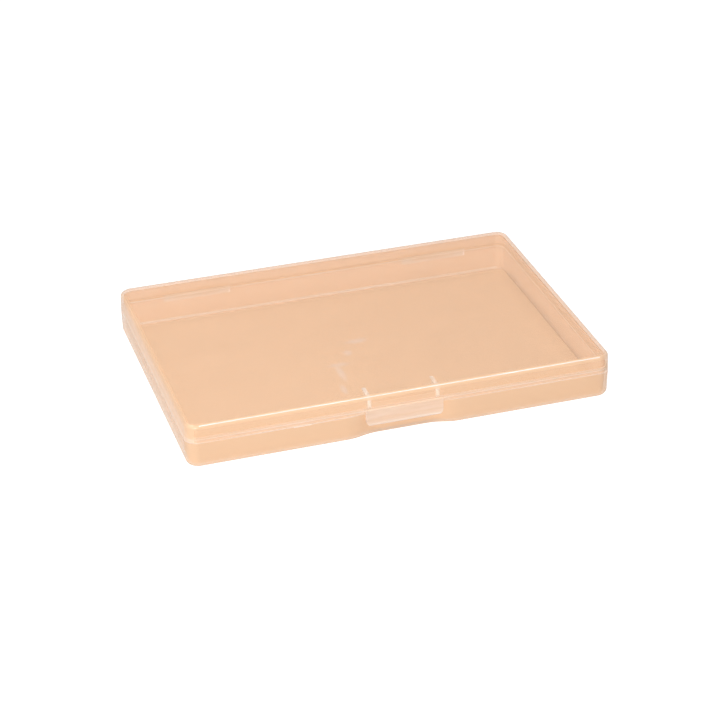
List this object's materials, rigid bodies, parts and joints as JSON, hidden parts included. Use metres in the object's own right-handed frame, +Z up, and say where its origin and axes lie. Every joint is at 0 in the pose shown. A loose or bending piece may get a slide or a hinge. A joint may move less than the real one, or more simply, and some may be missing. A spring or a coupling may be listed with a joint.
{
  "type": "wet palette",
  "caption": "Flat hinged box in tinted clear plastic with a front snap latch, holding a damp sponge sheet and palette paper for thinned paint.",
  "frame": {"origin": "centre of the tray's flat underside, on the surface that the box rests on", "axes": "+X to the right along the front, +Y from the latch to the hinges, +Z up"},
  "size_m": [0.19, 0.1359, 0.0205],
  "materials": {
    "box_plastic": "clear injection-moulded plastic with a soft peach tint, smooth and slightly milky",
    "pin_plastic": "clear rod of the same peach plastic, cut square at the ends, which show as small darker dots",
    "sponge": "fine-celled damp sponge sheet",
    "palette_paper": "thin translucent parchment, damp from below"
  },
  "bodies": {
    "tray": {"tray": "box_plastic", "hinge_pin_left": "pin_plastic", "hinge_pin_right": "pin_plastic"},
    "lid": {"lid": "box_plastic"},
    "latch": {"latch": "box_plastic"},
    "sponge": {"sponge": "sponge"},
    "paper": {"palette_paper": "palette_paper"}
  },
  "joints": [
    {"name": "lid_hinge", "type": "hinge", "parent": "tray", "child": "lid", "pos_m": [0, 0.0674, 0.0122], "axis": [-1, 0, 0], "range_deg": [0, 180]},
    {"name": "latch_flex", "type": "hinge", "parent": "lid", "child": "latch", "pos_m": [0, -0.06605, 0.0135], "axis": [-1, 0, 0], "range_deg": [0, 12], "stiffness_Nm_per_rad": 0.15},
    {"name": "sponge_lift", "type": "slide", "parent": "tray", "child": "sponge", "axis": [0, 0, 1], "range_m": [0, 0.004]},
    {"name": "paper_lift", "type": "slide", "parent": "sponge", "child": "paper", "axis": [0, 0, 1], "range_m": [0, 0.004]}
  ]
}
